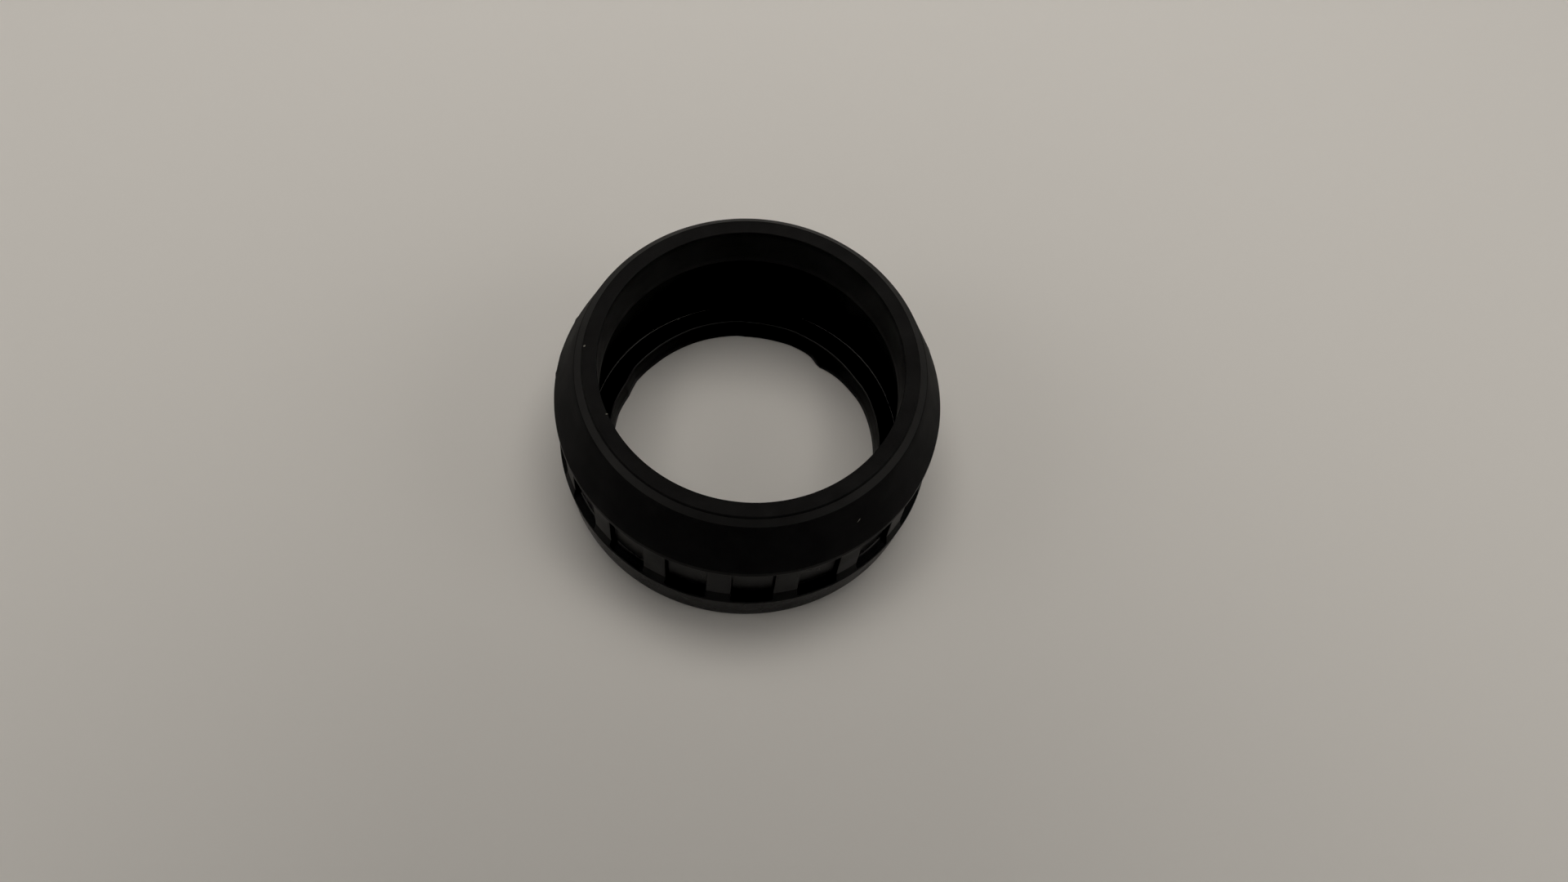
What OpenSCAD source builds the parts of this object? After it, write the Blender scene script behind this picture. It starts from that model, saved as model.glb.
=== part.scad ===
// Labyrinth seal ring, moulded in one piece.
// A tapered flank drops from the flat rim to the widest edge; below it a belt
// of shallow pockets runs round the wall over a plain skirt.  Inside, the bore
// opens into a wide groove that ends on a thin lip around the lower mouth.
// The axis is +Z and the ring stands on its skirt at z = 0.

/* [Body] */
// Diameter at the widest edge
outer_d = 40; // [39.5:0.1:42]
// Overall height
height = 19.8; // [19.4:0.1:22]
// Height of the widest edge
edge_z = 13.14; // [12.8:0.02:13.3]
// Diameter of the skirt where it stands
foot_d = 39.22; // [38.6:0.02:39.4]
// Height of the skirt's top edge
skirt_h = 4.76; // [4:0.02:5.2]

/* [Rim] */
// Outer diameter of the flat rim
rim_d = 33.5; // [32.8:0.1:33.8]
// Width of the narrow step outside the rim
step_w = 0.14; // [0.08:0.02:0.3]
// Height of the sloping shoulder where it meets the step
shoulder_z = 19.49; // [19.1:0.01:19.55]
// Width of the sloping shoulder
shoulder_w = 0.73; // [0.4:0.01:0.9]

/* [Pockets] */
// Number of pockets round the belt
pockets = 18; // [12:1:20]
// Width of one pocket at the wall
pocket_w = 4.35; // [3.6:0.05:4.8]
// Depth of the pockets below the widest edge
pocket_depth = 0.9; // [0.8:0.05:1.5]
// Height of the pockets' lower ledge
pocket_z0 = 5.4; // [5.2:0.02:7]
// Height of the pockets' roof
pocket_z1 = 12.08; // [11:0.02:12.3]
// Corner radius of the pockets
pocket_r = 0.35; // [0.1:0.05:1]
// Angle from +X to the first pocket
pocket_turn = -83; // [-90:0.1:90]
// Set-back of the posts behind the widest edge
post_set = 0.3; // [0.1:0.02:0.4]
// Height at which the posts flare out into the skirt
flare_z = 6.4; // [6:0.1:8]

/* [Bore] */
// Bore diameter at the rim
bore_d = 30.6; // [30:0.1:31.4]
// Length of the bore below the rim
bore_len = 5.2; // [3:0.1:7]
// Diameter of the inner groove
groove_d = 34.24; // [33.4:0.02:34.6]
// Height of the groove's floor at its wall
groove_z = 2.42; // [2:0.02:2.6]

/* [Lip] */
// Diameter of the lower mouth
mouth_d = 29.12; // [28.6:0.02:29.4]
// Diameter of the lip's upper inner edge
lip_top_d = 29.66; // [29.5:0.02:29.9]
// Height of the lip's upper inner edge
lip_h = 2.84; // [2.7:0.02:3.2]
// Reach of the moulding burr on the lip
burr_reach = 0.76; // [0.4:0.02:1]
// Angle from +X to the burr's tip
burr_turn = 55.5; // [0:0.5:360]
// Arc over which the burr runs out
burr_arc = 26; // [18:0.5:30]
// Thickness of the burr
burr_t = 0.9; // [0.5:0.1:1.4]

/* [Hidden] */
black = [0.035, 0.035, 0.037];
outer_r = outer_d / 2;
foot_r = foot_d / 2;
skirt_r = outer_r + 0.06;
rim_r = rim_d / 2;
bore_r = bore_d / 2;
groove_r = groove_d / 2;
mouth_r = mouth_d / 2;
lip_r = lip_top_d / 2;
post_r = outer_r - post_set;
floor_r = outer_r - pocket_depth;

// Half section of the ring: radius against height.
module section() {
    polygon([
        // skirt, slightly undercut towards the foot
        [foot_r - 0.25, 0],
        [foot_r, 0.22],
        [skirt_r - 0.06, skirt_h - 0.18],
        [skirt_r, skirt_h - 0.06],
        [skirt_r - 0.01, skirt_h + 0.08],
        // flare into the posts' faces
        [post_r + 0.06, flare_z - 0.45],
        [post_r, flare_z],
        [post_r, edge_z - 1.0],
        // rail and the widest edge
        [outer_r - 0.06, edge_z - 0.86],
        [outer_r, edge_z - 0.68],
        [outer_r, edge_z - 0.12],
        [outer_r - 0.02, edge_z + 0.04],
        [outer_r - 0.09, edge_z + 0.2],
        // tapered flank, sloping shoulder and step
        [rim_r + step_w + shoulder_w + 0.05, shoulder_z - shoulder_w * 0.61 - 0.12],
        [rim_r + step_w + shoulder_w - 0.06, shoulder_z - shoulder_w * 0.61 + 0.03],
        [rim_r + step_w, shoulder_z],
        // flat rim
        [rim_r + 0.03, height - 0.08],
        [rim_r - 0.04, height],
        [bore_r + 0.1, height],
        [bore_r, height - 0.1],
        // bore, inner groove and lip
        [bore_r, height - bore_len],
        [groove_r, height - bore_len - 0.12],
        [groove_r, groove_z],
        [lip_r + 0.1, lip_h],
        [lip_r, lip_h - 0.06],
        [mouth_r, 0.12],
        [mouth_r + 0.12, 0]
    ]);
}

module ring_body() rotate_extrude($fn = 180) section();

// Upright slot outline with rounded corners, centred on its foot.
module slot_outline(w, h, r) {
    translate([-w / 2 + r, 0]) square([w - 2 * r, h]);
    translate([-w / 2, r]) square([w, h - 2 * r]);
    for (x = [-w / 2 + r, w / 2 - r], y = [r, h - r])
        translate([x, y]) circle(r = r, $fn = 24);
}

// One pocket: a slot cut inwards from outside the wall.
module pocket_cut() {
    translate([outer_r / 2, 0, pocket_z0])
        rotate([90, 0, 90])
            linear_extrude(height = outer_r)
                slot_outline(pocket_w, pocket_z1 - pocket_z0, pocket_r);
}

// All pockets, stopped at one round floor.
module pocket_belt() {
    difference() {
        for (i = [0 : pockets - 1])
            rotate([0, 0, pocket_turn + i * 360 / pockets]) pocket_cut();
        cylinder(r = floor_r, h = height, $fn = 180);
    }
}

// Point at a radius and an angle from +X.
function at(r, a) = [r * cos(a), r * sin(a)];

// Moulding burr that stands inwards from the lip.
module lip_burr() {
    translate([0, 0, 0.3])
        linear_extrude(height = burr_t)
            polygon([
                at(mouth_r + 0.25, burr_turn + 9),
                at(mouth_r - burr_reach * 0.32, burr_turn + 7.5),
                at(mouth_r - burr_reach * 0.72, burr_turn + 3.2),
                at(mouth_r - burr_reach, burr_turn),
                at(mouth_r - burr_reach * 0.7, burr_turn - burr_arc * 0.2),
                at(mouth_r - burr_reach * 0.42, burr_turn - burr_arc * 0.42),
                at(mouth_r - burr_reach * 0.2, burr_turn - burr_arc * 0.68),
                at(mouth_r - 0.02, burr_turn - burr_arc),
                at(mouth_r + 0.25, burr_turn - burr_arc * 0.9),
                at(mouth_r + 0.25, burr_turn - burr_arc * 0.4)
            ]);
}

module seal_ring() {
    color(black)
        union() {
            difference() {
                ring_body();
                pocket_belt();
            }
            lip_burr();
        }
}

seal_ring();
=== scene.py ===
import math

import bmesh
import bpy
import numpy as np
from mathutils import Matrix, Vector, noise


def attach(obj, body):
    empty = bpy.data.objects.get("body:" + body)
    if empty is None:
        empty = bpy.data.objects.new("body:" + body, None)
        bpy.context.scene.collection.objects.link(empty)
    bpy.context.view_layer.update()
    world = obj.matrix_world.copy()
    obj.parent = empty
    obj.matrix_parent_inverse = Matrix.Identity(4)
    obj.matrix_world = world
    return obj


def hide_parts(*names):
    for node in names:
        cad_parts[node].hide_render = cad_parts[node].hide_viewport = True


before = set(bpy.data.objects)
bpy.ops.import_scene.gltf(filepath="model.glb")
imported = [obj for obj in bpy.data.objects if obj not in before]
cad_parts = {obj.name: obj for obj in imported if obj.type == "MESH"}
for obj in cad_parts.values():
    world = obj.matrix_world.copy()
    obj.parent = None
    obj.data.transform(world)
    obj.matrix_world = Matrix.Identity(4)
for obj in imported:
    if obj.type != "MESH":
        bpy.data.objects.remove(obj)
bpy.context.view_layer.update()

MM = 0.001

# ---------------------------------------------------------------- geometry --
# Angles are counted from the front (-Y) towards +X.  Lengths are millimetres.
CELLS = 18                 # pockets round the belt
PITCH = 360.0 / CELLS
AZ0 = 7.0                  # middle of the first pocket
NA, NZ, ARC = 24, 18, 3    # segments across and down one cell, segments in half a corner
TOP_Z, BOT_Z = 12.10, 4.90
POST_R, FLOOR_R, CREASE_Z = 19.69, 19.10, 6.45
POCKET = dict(hw=2.17, z0=5.15, z1=12.02, rc=0.36)
EDGE_F, FLOOR_F, DRAFT, LEDGE = 0.07, 0.12, 0.04, 0.62
GLINTS = (2, 15, 16)          # pockets whose foot is moulded glossier


def smooth(t):
    t = min(1.0, max(0.0, t))
    return t * t * (3 - 2 * t)


def wall_r(z):
    """Radius of the posts' faces; below the crease a cone runs out to the skirt's edge."""
    if z >= CREASE_Z:
        return POST_R + 0.02 * smooth((12.1 - z) / 4.8)
    s = (CREASE_Z - z) / (CREASE_Z - BOT_Z)
    return POST_R + 0.02 + (20.045 - POST_R - 0.02) * (s * 0.97 + 0.03 * s * s)


def lin(a, b, n):
    return [a + (b - a) * i / n for i in range(n + 1)]


def column_offsets():
    h = math.degrees((POCKET["hw"] - POCKET["rc"]) / POST_R)
    right = lin(0.0, h, NA // 2 - ARC) + lin(h, PITCH / 2, ARC)[1:]
    return [-a for a in right[:0:-1]] + right


def side_heights():
    lo, hi = POCKET["z0"] + POCKET["rc"], POCKET["z1"] - POCKET["rc"]
    return lin(TOP_Z, hi, ARC) + straight_heights(lo, hi)[1:] + lin(lo, BOT_Z, ARC)[1:]


def straight_heights(lo, hi):
    """Heights down a pocket's side, closer together where the posts' faces crease."""
    n = NZ - 2 * ARC
    up, down = CREASE_Z + 0.10, CREASE_Z - 0.10
    return lin(hi, up, n - 5) + [CREASE_Z, down] + lin(down, lo, 3)[1:]


def rounded_loop(inset, lift=0.0):
    """Pocket outline moved inwards by inset, its foot raised by lift: (x, z) in mm, clockwise from the upper left."""
    hw = POCKET["hw"] - inset
    z0, z1 = POCKET["z0"] + inset + lift, POCKET["z1"] - inset
    rc = max(POCKET["rc"] - inset, 0.06)
    out = []

    def arc(cx, cz, a0, a1, n, skip):
        pts = [(cx + rc * math.cos(math.radians(a)), cz + rc * math.sin(math.radians(a)))
               for a in lin(a0, a1, n)]
        out.extend(pts[1:] if skip else pts)

    def line(x0, zz0, x1, zz1, n):
        for t in lin(0, 1, n)[1:]:
            out.append((x0 + (x1 - x0) * t, zz0 + (zz1 - zz0) * t))

    arc(-hw + rc, z1 - rc, 135, 90, ARC, False)
    line(-hw + rc, z1, hw - rc, z1, NA - 2 * ARC)
    arc(hw - rc, z1 - rc, 90, 45, ARC, True)
    arc(hw - rc, z1 - rc, 45, 0, ARC, True)
    for zz in straight_heights(z0 + rc, z1 - rc)[1:]:
        out.append((hw, zz))
    arc(hw - rc, z0 + rc, 0, -45, ARC, True)
    arc(hw - rc, z0 + rc, -45, -90, ARC, True)
    line(hw - rc, z0, -hw + rc, z0, NA - 2 * ARC)
    arc(-hw + rc, z0 + rc, -90, -135, ARC, True)
    arc(-hw + rc, z0 + rc, -135, -180, ARC, True)
    for zz in straight_heights(z0 + rc, z1 - rc)[-2::-1]:
        out.append((-hw, zz))
    arc(-hw + rc, z1 - rc, 180, 135, ARC, True)
    out.pop()
    return out


def fillet_path(points):
    """Polyline of (r, z, radius, segments, zone) with its corners rounded, open at both ends."""
    out = []
    n = len(points)
    for i, (r, z, f, seg, zone) in enumerate(points):
        if i in (0, n - 1) or f <= 0:
            out.append((r, z, zone))
            continue
        p = Vector((r, z))
        a = Vector(points[i - 1][:2]) - p
        b = Vector(points[i + 1][:2]) - p
        la, lb = a.length, b.length
        a.normalize(); b.normalize()
        ang = math.acos(max(-1, min(1, a.dot(b))))
        t = min(f / math.tan(ang / 2), la * 0.48, lb * 0.48)
        rad = t * math.tan(ang / 2)
        c = p + (a + b).normalized() * (rad / math.sin(ang / 2))
        s, e = p + a * t, p + b * t
        a0 = math.atan2(s.y - c.y, s.x - c.x)
        a1 = math.atan2(e.y - c.y, e.x - c.x)
        d = (a1 - a0 + math.pi) % (2 * math.pi) - math.pi
        for k in range(seg + 1):
            q = a0 + d * k / seg
            out.append((c.x + rad * math.cos(q), c.y + rad * math.sin(q), zone))
    return out


def split_long(path, step):
    out = [path[0]]
    for p, q in zip(path, path[1:]):
        d = math.hypot(q[0] - p[0], q[1] - p[1])
        n = max(1, int(math.ceil(d / step)))
        for k in range(1, n + 1):
            t = k / n
            out.append((p[0] + (q[0] - p[0]) * t, p[1] + (q[1] - p[1]) * t, q[2]))
    return out


# zone: 0 belt, 1 flank, 2 rim, 3 bore, 4 foot, 5 skirt
PROFILE = [
    (wall_r(TOP_Z), TOP_Z, 0, 0, 0),
    (19.69, 12.16, 0.05, 2, 0),
    (19.98, 12.34, 0.10, 3, 0),
    (20.00, 12.70, 0, 0, 8),
    (20.00, 13.16, 0.10, 4, 8),
    (17.62, 19.05, 0.22, 5, 1),
    (16.90, 19.49, 0.05, 3, 9),
    (16.775, 19.79, 0.06, 4, 2),
    (15.30, 19.79, 0.07, 4, 2),
    (15.30, 14.58, 0.06, 3, 3),
    (17.12, 14.46, 0.12, 3, 3),
    (17.12, 2.75, 0, 0, 3),
    (17.12, 2.42, 0.26, 6, 10),
    (14.83, 2.86, 0.12, 5, 6),
    (14.56, 0.10, 0.0, 0, 3),
    (14.66, 0.0, 0.0, 0, 4),
    (19.45, 0.0, 0.0, 0, 4),
    (19.62, 0.16, 0.10, 3, 5),
    (20.050, 4.72, 0.10, 4, 5),
    (wall_r(BOT_Z), BOT_Z, 0, 0, 0),
]

# Uneven moulding of the lip: change of its inner radius round the mouth.
LIP = [(-180, -0.12), (-176, -0.11), (-172, 0.0), (-150, 0.02), (-143.2, 0.0), (-142, 0.01), (-130, 0.0),
       (-124, 0.06), (-118.4, 0.10), (-116.2, 0.02), (-112, -0.10), (-110, -0.16), (-106, -0.08),
       (-100, 0.04), (-92, -0.02), (-60, 0.0), (60, 0.0), (84, 0.06), (96, 0.09), (118, 0.07),
       (122, 0.0), (126, -0.12), (130, -0.21), (135, -0.32), (140, -0.52), (143.2, -0.68),
       (145.3, -0.80), (147.0, -0.74), (149.0, -0.57), (151.5, -0.33), (154.2, -0.19), (158, -0.12),
       (164, -0.07), (170, -0.12), (180, -0.12)]


# Flash left on the widest edge: angle, spread in degrees, height in mm.
FLASH = [(-109.0, 0.55, 0.075), (-89.5, 0.5, 0.06), (-96.0, 1.4, 0.025), (112.0, 0.7, 0.05), (128.0, 0.6, 0.05),
         (171.0, 0.8, 0.03), (-58.0, 0.5, 0.03), (61.0, 0.6, 0.03)]


def table(tab, a):
    a = (a + 180) % 360 - 180
    for (x0, y0), (x1, y1) in zip(tab, tab[1:]):
        if x0 <= a <= x1:
            return y0 + (y1 - y0) * (a - x0) / (x1 - x0)
    return 0.0


def tweak(r, z, az, zone):
    """Small unevenness of the moulding at one point of the surface."""
    a = math.radians(az)
    if z < 2.95 and r < 15.6:
        burr = table(LIP, az)
        w = smooth((15.6 - r) / 0.7)
        if burr < -0.14:
            r += (burr + 0.14) * w * smooth((2.0 - z) / 0.9) - 0.14 * w
        else:
            r += burr * w
    if 12.7 < z < 13.5 and r > 19.6:
        d = sum(h * math.exp(-((az - c + 180) % 360 - 180) ** 2 / (2 * w * w)) for c, w, h in FLASH)
        r += (d - 0.03) * smooth((z - 12.7) / 0.3) * smooth((13.5 - z) / 0.3)
    if zone in (0, 1, 3, 5, 6) and 0.3 < z < 19.2:
        q = Vector((r * math.sin(a), -r * math.cos(a), z))
        r += 0.010 * noise.noise(q * 0.35) + 0.004 * noise.noise(q * 1.1 + Vector((7, 3, 1)))
    return r, z


def build_ring():
    offs = column_offsets()
    azs = [AZ0 + k * PITCH + offs[j] for k in range(CELLS) for j in range(NA)]
    m = len(azs)
    verts, faces, zones = [], [], []

    def vert(r, z, az):
        a = math.radians(az)
        verts.append((r * math.sin(a) * MM, -r * math.cos(a) * MM, z * MM))
        return len(verts) - 1

    path = split_long(fillet_path(PROFILE), 0.9)
    rows = []
    for r, z, zone in path:
        row = []
        for az in azs:
            rr, zz = tweak(r, z, az, zone) if (r, z, zone) not in (path[0], path[-1]) else (r, z)
            row.append(vert(rr, zz, az))
        rows.append(row)
    for i in range(len(rows) - 1):
        for c in range(m):
            d = (c + 1) % m
            faces.append((rows[i][c], rows[i][d], rows[i + 1][d], rows[i + 1][c]))
            zones.append(path[i + 1][2])

    # the belt: one cell round each pocket
    heights = side_heights()
    sides = []
    for k in range(CELLS):
        az = AZ0 + k * PITCH + PITCH / 2
        sides.append([None] + [vert(wall_r(heights[i]), heights[i], az) for i in range(1, NZ)] + [None])

    def cell_boundary(k):
        kk = (k + 1) % CELLS
        col = lambda j: (k * NA + j) % m
        ids = [rows[0][col(j)] for j in range(NA + 1)]
        uz = [(offs[j], TOP_Z) for j in range(NA + 1)]
        ids += sides[k][1:NZ]
        uz += [(PITCH / 2, heights[i]) for i in range(1, NZ)]
        ids += [rows[-1][col(j)] for j in range(NA, -1, -1)]
        uz += [(offs[j], BOT_Z) for j in range(NA, -1, -1)]
        ids += sides[k - 1][NZ - 1:0:-1]
        uz += [(-PITCH / 2, heights[i]) for i in range(NZ - 1, 0, -1)]
        return ids, uz

    def ring_ids(k, loop, rfun, deg=False):
        out = []
        for n, (x, z) in enumerate(loop):
            u = x if deg else math.degrees(x / POST_R)
            out.append(vert(rfun(n, z), z, AZ0 + k * PITCH + u))
        return out

    for k in range(CELLS):
        base, uz = cell_boundary(k)
        n = len(base)
        outline = [(math.degrees(x / POST_R), z) for x, z in rounded_loop(-EDGE_F)]
        loops = [base]
        for t in (0.62, 0.28):
            mix = [(o[0] + (b[0] - o[0]) * t, o[1] + (b[1] - o[1]) * t) for o, b in zip(outline, uz)]
            loops.append(ring_ids(k, mix, lambda i, z: wall_r(z), deg=True))
        for th in (0, 30, 60, 90):
            s, c = math.sin(math.radians(th)), math.cos(math.radians(th))
            lp = rounded_loop(-EDGE_F + EDGE_F * s)
            loops.append(ring_ids(k, lp, lambda i, z, c=c: wall_r(z) - EDGE_F * (1 - c)))
        lp = rounded_loop(DRAFT * 0.5, LEDGE * 0.5)
        loops.append(ring_ids(k, lp, lambda i, z: (wall_r(z) + FLOOR_R) / 2))
        for th in (0, 30, 60, 90):
            s, c = math.sin(math.radians(th)), math.cos(math.radians(th))
            lp = rounded_loop(DRAFT + FLOOR_F * (1 - c), LEDGE)
            loops.append(ring_ids(k, lp, lambda i, z, s=s: FLOOR_R + FLOOR_F - FLOOR_F * s))
        lp = rounded_loop(DRAFT + FLOOR_F + 0.3, LEDGE)
        loops.append(ring_ids(k, lp, lambda i, z: FLOOR_R))
        for q, (a, b) in enumerate(zip(loops, loops[1:])):
            for i in range(n):
                j = (i + 1) % n
                faces.append((a[i], a[j], b[j], b[i]))
                foot_fillet = 8 <= q <= 10 and NA + NZ <= i < 2 * NA + NZ
                zones.append(6 if k in GLINTS and foot_fillet else 0 if q < len(loops) - 3 else 7)
        # floor: grid between the four sides of the last loop
        last = loops[-1]
        top = list(range(0, NA + 1))
        right = list(range(NA, NA + NZ + 1))
        bottom = list(range(2 * NA + NZ, NA + NZ - 1, -1))
        left = [0] + list(range(n - 1, 2 * NA + NZ - 1, -1))
        P = lambda i: Vector((lp[i][0], lp[i][1]))
        grid = [[None] * (NA + 1) for _ in range(NZ + 1)]
        for j in range(NA + 1):
            grid[0][j] = last[top[j]]
            grid[NZ][j] = last[bottom[j]]
        for i in range(NZ + 1):
            grid[i][0] = last[left[i]]
            grid[i][NA] = last[right[i]]
        for i in range(1, NZ):
            v = i / NZ
            for j in range(1, NA):
                u = j / NA
                q = ((1 - v) * P(top[j]) + v * P(bottom[j]) + (1 - u) * P(left[i]) + u * P(right[i])
                     - (1 - u) * (1 - v) * P(top[0]) - u * (1 - v) * P(top[NA])
                     - (1 - u) * v * P(bottom[0]) - u * v * P(bottom[NA]))
                grid[i][j] = vert(FLOOR_R, q.y, AZ0 + k * PITCH + math.degrees(q.x / POST_R))
        for i in range(NZ):
            for j in range(NA):
                faces.append((grid[i][j], grid[i][j + 1], grid[i + 1][j + 1], grid[i + 1][j]))
                zones.append(7)

    # below the crease the belt's wall gets a darker, rougher copy of the belt's material: its darker base colour is
    # painted shade for the dark band there, the contact shadow mirrored in that wall
    for i, f in enumerate(faces):
        if zones[i] == 0 and all(verts[v][2] < (CREASE_Z + 0.01) * MM and
                                 math.hypot(verts[v][0], verts[v][1]) > (POST_R - 0.02) * MM for v in f):
            zones[i] = 11
    me = bpy.data.meshes.new("seal_ring_body")
    me.from_pydata(verts, [], faces)
    me.polygons.foreach_set("material_index", zones)
    me.validate()
    bm = bmesh.new()
    bm.from_mesh(me)
    bmesh.ops.recalc_face_normals(bm, faces=bm.faces)
    open_edges = [e for e in bm.edges if len(e.link_faces) != 2]
    print("ring: verts", len(bm.verts), "faces", len(bm.faces), "open or shared edges", len(open_edges))
    bm.to_mesh(me)
    bm.free()
    me.shade_smooth()
    ob = bpy.data.objects.new("seal_ring_body", me)
    bpy.context.scene.collection.objects.link(ob)
    wn = ob.modifiers.new("weighted", "WEIGHTED_NORMAL")
    wn.keep_sharp = True
    wn.weight = 60
    return ob


# --------------------------------------------------------------- materials --
def moulded(name, base, rough, grain, grain_scale, spec=0.5, blotch=0.12, tint=(1, 1, 1, 1)):
    m = bpy.data.materials.new(name)
    m.use_nodes = True
    nt = m.node_tree
    nt.nodes.clear()
    N, Lk = nt.nodes.new, nt.links.new
    out = N("ShaderNodeOutputMaterial")
    bsdf = N("ShaderNodeBsdfPrincipled")
    bsdf.inputs["Specular IOR Level"].default_value = spec
    bsdf.inputs["IOR"].default_value = 1.5
    bsdf.inputs["Specular Tint"].default_value = tint
    Lk(bsdf.outputs[0], out.inputs[0])
    co = N("ShaderNodeTexCoord")
    # colour: very slight mottling of the black compound
    n1 = N("ShaderNodeTexNoise"); n1.inputs["Scale"].default_value = 420; n1.inputs["Detail"].default_value = 5
    Lk(co.outputs["Object"], n1.inputs["Vector"])
    mix = N("ShaderNodeMix"); mix.data_type = "RGBA"
    mix.inputs["A"].default_value = (*[c * (1 - blotch) for c in base], 1)
    mix.inputs["B"].default_value = (*[min(1, c * (1 + blotch * 2)) for c in base], 1)
    Lk(n1.outputs["Fac"], mix.inputs["Factor"])
    Lk(mix.outputs["Result"], bsdf.inputs["Base Color"])
    # roughness: broad patches and fine grain
    n2 = N("ShaderNodeTexNoise"); n2.inputs["Scale"].default_value = 260; n2.inputs["Detail"].default_value = 6
    Lk(co.outputs["Object"], n2.inputs["Vector"])
    mr = N("ShaderNodeMapRange")
    mr.inputs["From Min"].default_value = 0.3; mr.inputs["From Max"].default_value = 0.7
    mr.inputs["To Min"].default_value = rough - 0.05; mr.inputs["To Max"].default_value = rough + 0.06
    Lk(n2.outputs["Fac"], mr.inputs["Value"])
    Lk(mr.outputs["Result"], bsdf.inputs["Roughness"])
    # bump: grain of the mould wall
    n3 = N("ShaderNodeTexNoise"); n3.inputs["Scale"].default_value = grain_scale; n3.inputs["Detail"].default_value = 8
    n3.inputs["Roughness"].default_value = 0.6
    Lk(co.outputs["Object"], n3.inputs["Vector"])
    b1 = N("ShaderNodeBump"); b1.inputs["Strength"].default_value = 1.0; b1.inputs["Distance"].default_value = grain
    Lk(n3.outputs["Fac"], b1.inputs["Height"])
    Lk(b1.outputs["Normal"], bsdf.inputs["Normal"])
    return m


COOL = (0.96, 0.98, 1.0, 1)
# These zones are one black compound. Their base colours, 0.011 to 0.015, are painted light and shade: lighter on the
# outer upright belt, rail, skirt and foot, darker on the rim, bore, lip, groove and pockets, to set how bright each
# zone renders.
BELT = moulded("moulding_belt", (0.015, 0.015, 0.0153), 0.32, 0.000006, 5000, spec=0.028, tint=COOL)
FLANK = moulded("moulding_flank", (0.013, 0.013, 0.0133), 0.58, 0.000012, 5000, spec=0.03, tint=COOL)
RIM = moulded("moulding_rim", (0.011, 0.011, 0.0112), 0.66, 0.000020, 4200, spec=0.08, blotch=0.3)
SHOULDER = moulded("moulding_shoulder", (0.012, 0.012, 0.0122), 0.48, 0.000014, 4600, spec=0.28, blotch=0.2)
BORE = moulded("moulding_bore", (0.011, 0.011, 0.0112), 0.45, 0.000008, 5000, spec=0.06, tint=COOL)
FOOT = moulded("moulding_foot", (0.014, 0.014, 0.0142), 0.50, 0.000010, 4500, spec=0.20)
SKIRT = moulded("moulding_skirt", (0.014, 0.014, 0.0142), 0.27, 0.000005, 6000, spec=0.022, tint=COOL)
LIPM = moulded("moulding_lip", (0.011, 0.011, 0.0112), 0.22, 0.000003, 5000, spec=0.30)
GROOVE = moulded("moulding_groove", (0.011, 0.011, 0.0112), 0.22, 0.000003, 5000, spec=0.70)
RAIL = moulded("moulding_rail", (0.014, 0.014, 0.0142), 0.33, 0.000006, 5000, spec=0.010, tint=COOL)
# painted shade: a darker, rougher copy of the belt material for the band below the crease
HEEL_SHADE = moulded("moulding_heel_shade", (0.012, 0.012, 0.0122), 0.55, 0.000008, 5000, spec=0.03, tint=COOL)
POCK = moulded("moulding_pocket", (0.012, 0.012, 0.0122), 0.30, 0.000006, 5000, spec=0.06, tint=COOL)

ring = build_ring()
for mat in (BELT, FLANK, RIM, BORE, FOOT, SKIRT, LIPM, POCK, RAIL, SHOULDER, GROOVE, HEEL_SHADE):
    ring.data.materials.append(mat)
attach(ring, "root")
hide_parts("seal_ring")

# ------------------------------------------------------------------- stage --
# a round sheet of paper that curves up into a low wall far outside the view
sweep = [(0.0, 0.0), (0.25, 0.0), (0.6, 0.0), (1.1, 0.0), (1.7, 0.0)]
sweep += [(1.7 + 0.6 * math.sin(math.radians(t)), 0.6 - 0.6 * math.cos(math.radians(t))) for t in range(10, 91, 10)]
sweep += [(2.3, 1.1)]
SWEEP_N = 96
sv = [(0.0, 0.0, 0.0)]
for r, z in sweep[1:]:
    sv += [(r * math.cos(2 * math.pi * i / SWEEP_N), r * math.sin(2 * math.pi * i / SWEEP_N), z) for i in range(SWEEP_N)]
sf = [(0, 1 + i, 1 + (i + 1) % SWEEP_N) for i in range(SWEEP_N)]
for k in range(len(sweep) - 2):
    a0, b0 = 1 + k * SWEEP_N, 1 + (k + 1) * SWEEP_N
    sf += [(a0 + i, b0 + i, b0 + (i + 1) % SWEEP_N, a0 + (i + 1) % SWEEP_N) for i in range(SWEEP_N)]
floor_mesh = bpy.data.meshes.new("paper_floor")
floor_mesh.from_pydata(sv, [], sf)
floor_mesh.polygons.foreach_set("use_smooth", [True] * len(floor_mesh.polygons))
floor = bpy.data.objects.new("paper_floor", floor_mesh)
bpy.context.scene.collection.objects.link(floor)
fm = bpy.data.materials.new("pale_paper")
fm.use_nodes = True
fnt = fm.node_tree
fb = fnt.nodes["Principled BSDF"]
fb.inputs["Base Color"].default_value = (0.80, 0.795, 0.785, 1)
fb.inputs["Roughness"].default_value = 0.9
fb.inputs["Specular IOR Level"].default_value = 0.2
# the lamps fall off with distance, so the far paper glows softly to stay pale
fb.inputs["Emission Color"].default_value = (0.99, 0.945, 0.885, 1)
fc = fnt.nodes.new("ShaderNodeTexCoord")
fl = fnt.nodes.new("ShaderNodeVectorMath"); fl.operation = "LENGTH"
fr = fnt.nodes.new("ShaderNodeMapRange"); fr.interpolation_type = "SMOOTHSTEP"
fr.inputs["From Min"].default_value = 0.16
fr.inputs["From Max"].default_value = 0.85
fr.inputs["To Min"].default_value = 0.0
fr.inputs["To Max"].default_value = 0.17
fnt.links.new(fc.outputs["Object"], fl.inputs[0])
fnt.links.new(fl.outputs["Value"], fr.inputs["Value"])
fnt.links.new(fr.outputs["Result"], fb.inputs["Emission Strength"])
floor_mesh.materials.append(fm)


WARM = (1.0, 0.942, 0.862)


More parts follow.
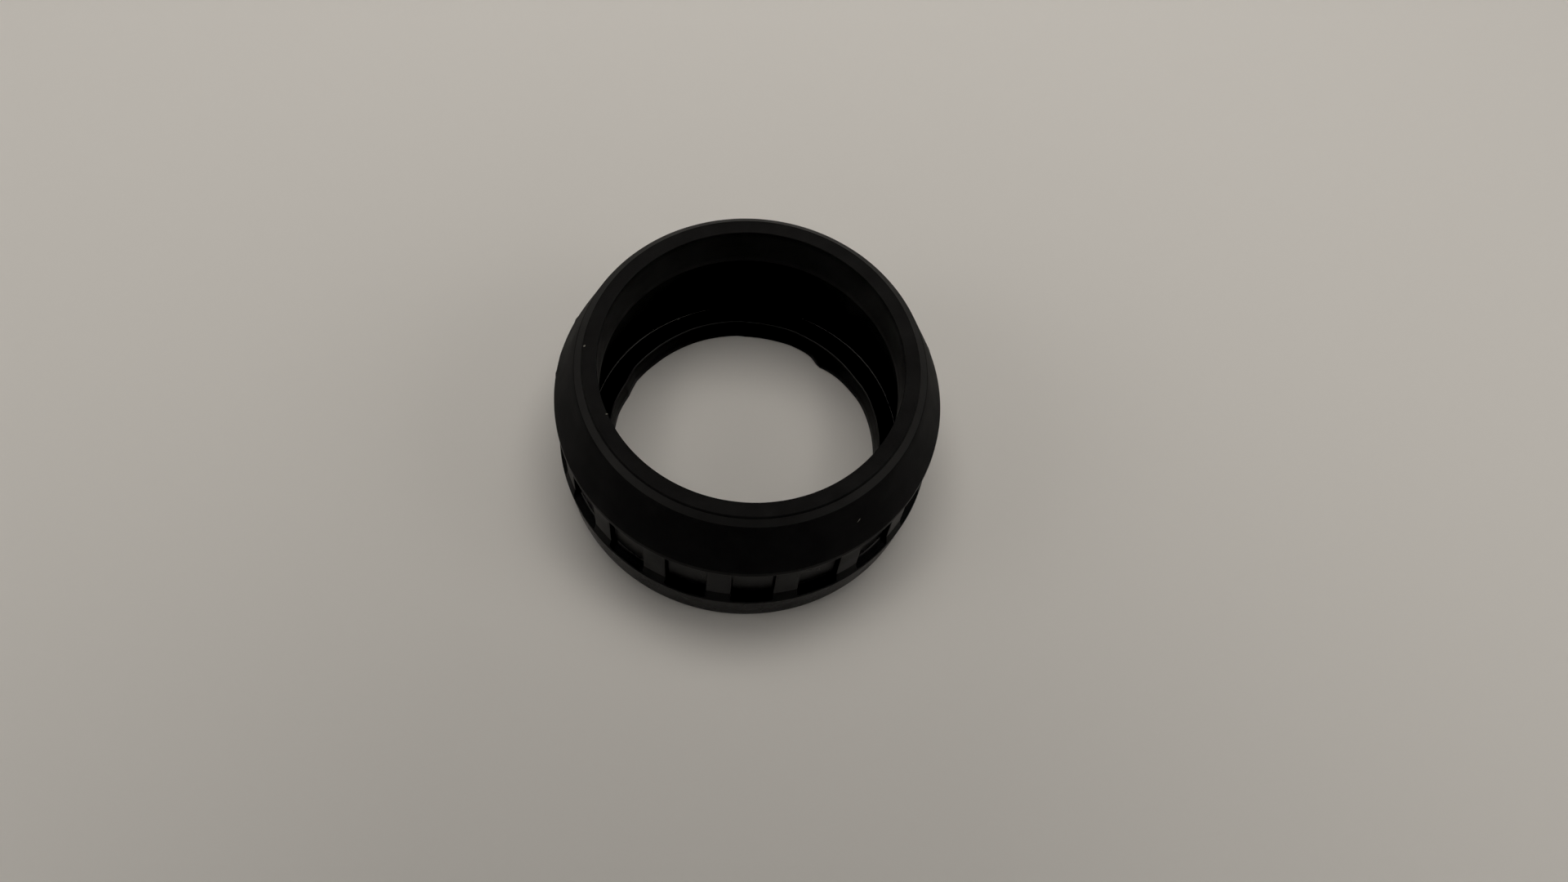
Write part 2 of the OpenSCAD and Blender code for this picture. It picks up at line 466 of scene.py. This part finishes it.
def area(name, loc, target, size, power, color=WARM):
    ld = bpy.data.lights.new(name, "AREA")
    ld.shape = "SQUARE"
    ld.size = size
    ld.energy = power
    ld.color = color
    ob = bpy.data.objects.new(name, ld)
    bpy.context.scene.collection.objects.link(ob)
    ob.location = loc
    ob.rotation_euler = (Vector(target) - Vector(loc)).to_track_quat("-Z", "Y").to_euler()
    return ob


area("overhead", (0.0, 0.018, 0.42), (0, 0.0, 0), 0.34, 1.18)
area("side_left", (-0.49, -0.13, 0.42), (0, 0, 0), 0.28, 0.28)
area("side_right", (0.50, -0.07, 0.42), (0, 0, 0), 0.28, 0.28)

# a flag over the front takes part of the light off that side of the floor
flag_mesh = bpy.data.meshes.new("flag")
flag_mesh.from_pydata([(-0.060, -0.22, 0), (0.060, -0.22, 0), (0.060, -0.007, 0), (-0.060, -0.007, 0)], [], [(0, 1, 2, 3)])
flag = bpy.data.objects.new("flag", flag_mesh)
bpy.context.scene.collection.objects.link(flag)
flag.location = (0.0, 0.0, 0.187)
flag.visible_camera = False
fgm = bpy.data.materials.new("flag_black")
fgm.use_nodes = True
fgm.node_tree.nodes["Principled BSDF"].inputs["Base Color"].default_value = (0.02, 0.02, 0.02, 1)
fgm.node_tree.nodes["Principled BSDF"].inputs["Roughness"].default_value = 0.9
flag_mesh.materials.append(fgm)
world = bpy.data.worlds.new("soft_room")
bpy.context.scene.world = world
world.use_nodes = True
bg = world.node_tree.nodes["Background"]
bg.inputs["Color"].default_value = (*WARM, 1)
bg.inputs["Strength"].default_value = 0.004

# ------------------------------------------------------------------ camera --
ELEV, ROLL, U0, V0, DIST, FPX = math.radians(61.54), math.radians(5.99), 917.3, 480.5, 135.4, 1600.0
EDGE_Z = 13.13


def camera_rows():
    pos = np.array([0, -DIST * math.cos(ELEV), DIST * math.sin(ELEV)])
    fw = -pos / np.linalg.norm(pos)
    right = np.array([1.0, 0, 0]); up = np.cross(right, fw)
    r0 = np.stack([right, -up, fw])
    ray = np.array([(U0 - 960) / FPX, (V0 - 540) / FPX, 1.0]); ray /= np.linalg.norm(ray)
    z = np.array([0, 0, 1.0]); ax = np.cross(z, ray); s = np.linalg.norm(ax); c = z @ ray
    ax /= s
    K = np.array([[0, -ax[2], ax[1]], [ax[2], 0, -ax[0]], [-ax[1], ax[0], 0]])
    rm = np.eye(3) + s * K + (1 - c) * K @ K
    cr, sr = math.cos(ROLL), math.sin(ROLL)
    rr = np.array([[cr, -sr, 0], [sr, cr, 0], [0, 0, 1]])
    return rm @ rr @ r0, pos


R, pos = camera_rows()
cd = bpy.data.cameras.new("camera")
cam = bpy.data.objects.new("camera", cd)
bpy.context.scene.collection.objects.link(cam)
cd.sensor_width = 36.0
cd.lens = FPX / 1920 * 36.0
cd.clip_start = 0.005
cd.clip_end = 50
mw = Matrix.Identity(4)
for i in range(3):
    mw[i][0], mw[i][1], mw[i][2] = R[0][i], -R[1][i], -R[2][i]
mw.translation = Vector((pos[0] * MM, pos[1] * MM, (pos[2] + EDGE_Z) * MM))
cam.matrix_world = mw
bpy.context.scene.camera = cam
bpy.context.scene.view_settings.view_transform = "Standard"
bpy.context.scene.view_settings.look = "None"
bpy.context.scene.view_settings.use_curve_mapping = True
bpy.context.scene.view_settings.curve_mapping.black_level = (0.0036, 0.0034, 0.0031)
bpy.context.scene.view_settings.curve_mapping.update()

# pale flecks of dust and torn flash that sit on the moulding; the two flecks in the groove's foot are a painted glint,
# pale specks where that fillet catches light
dust_and_glint = bpy.data.materials.new("dust_and_glint_fleck")
dust_and_glint.use_nodes = True
dnt = dust_and_glint.node_tree
db = dnt.nodes["Principled BSDF"]
db.inputs["Roughness"].default_value = 0.8
dn = dnt.nodes.new("ShaderNodeTexNoise"); dn.inputs["Scale"].default_value = 9000
dc = dnt.nodes.new("ShaderNodeTexCoord")
dr = dnt.nodes.new("ShaderNodeValToRGB")
dr.color_ramp.elements[0].color = (0.10, 0.10, 0.085, 1); dr.color_ramp.elements[1].color = (0.34, 0.33, 0.29, 1)
dnt.links.new(dc.outputs["Object"], dn.inputs["Vector"])
dnt.links.new(dn.outputs["Fac"], dr.inputs["Fac"])
dnt.links.new(dr.outputs["Color"], db.inputs["Base Color"])


def fleck(name, az, r, z, length, width, turn, sink, seed):
    """A flat ragged flake on the ring's surface, nearest to the given place on it."""
    a = math.radians(az)
    _, loc, nor, _ = ring.closest_point_on_mesh(Vector((r * math.sin(a) * MM, -r * math.cos(a) * MM, z * MM)))
    rng = np.random.default_rng(seed)
    side = Vector((1, 0, 0)) - nor * nor.x; side.normalize()
    up = nor.cross(side)
    ca, sa = math.cos(turn), math.sin(turn)
    ax, ay = side * ca + up * sa, up * ca - side * sa
    n = 11
    vs, fs = [], []
    for ringno, (k, h) in enumerate(((1.0, 0.0), (0.7, 0.014), (0.25, 0.022))):
        for i in range(n):
            a = 2 * math.pi * i / n
            j = (0.75 + 0.5 * rng.random()) if ringno == 0 else 1.0
            p = loc + (ax * (length / 2 * k * j * math.cos(a)) + ay * (width / 2 * k * j * math.sin(a)) + nor * (h - sink)) * MM
            vs.append(p[:])
    for q in range(2):
        for i in range(n):
            j = (i + 1) % n
            fs.append((q * n + i, q * n + j, (q + 1) * n + j, (q + 1) * n + i))
    fs.append(tuple(2 * n + i for i in range(n)))
    fs.append(tuple(n - 1 - i for i in range(n)))
    me = bpy.data.meshes.new(name)
    me.from_pydata(vs, [], fs)
    bm = bmesh.new(); bm.from_mesh(me); bmesh.ops.recalc_face_normals(bm, faces=bm.faces); bm.to_mesh(me); bm.free()
    me.materials.append(dust_and_glint)
    ob = bpy.data.objects.new(name, me)
    bpy.context.scene.collection.objects.link(ob)
    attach(ob, "root")


bpy.context.view_layer.update()
for i, (az, r, z, ln, wd, tn, sink) in enumerate([
        (-88.75, 16.60, 19.79, 0.36, 0.24, 0.9, 0.014), (-60.5, 15.41, 19.79, 0.22, 0.15, 0.2, 0.014),
        # the flecks at -148 and -137 degrees, in the groove's foot, are painted glints, not dust
        (39.3, 18.70, 16.40, 0.44, 0.09, 0.9, 0.0), (-148.0, 16.93, 2.46, 0.40, 0.10, 0.5, 0.0),
        (-137.0, 17.10, 2.66, 0.16, 0.09, 0.4, 0.0)]):
    fleck("fleck_%d" % (i + 1), az, r, z, ln, wd, tn, sink, 40 + i)

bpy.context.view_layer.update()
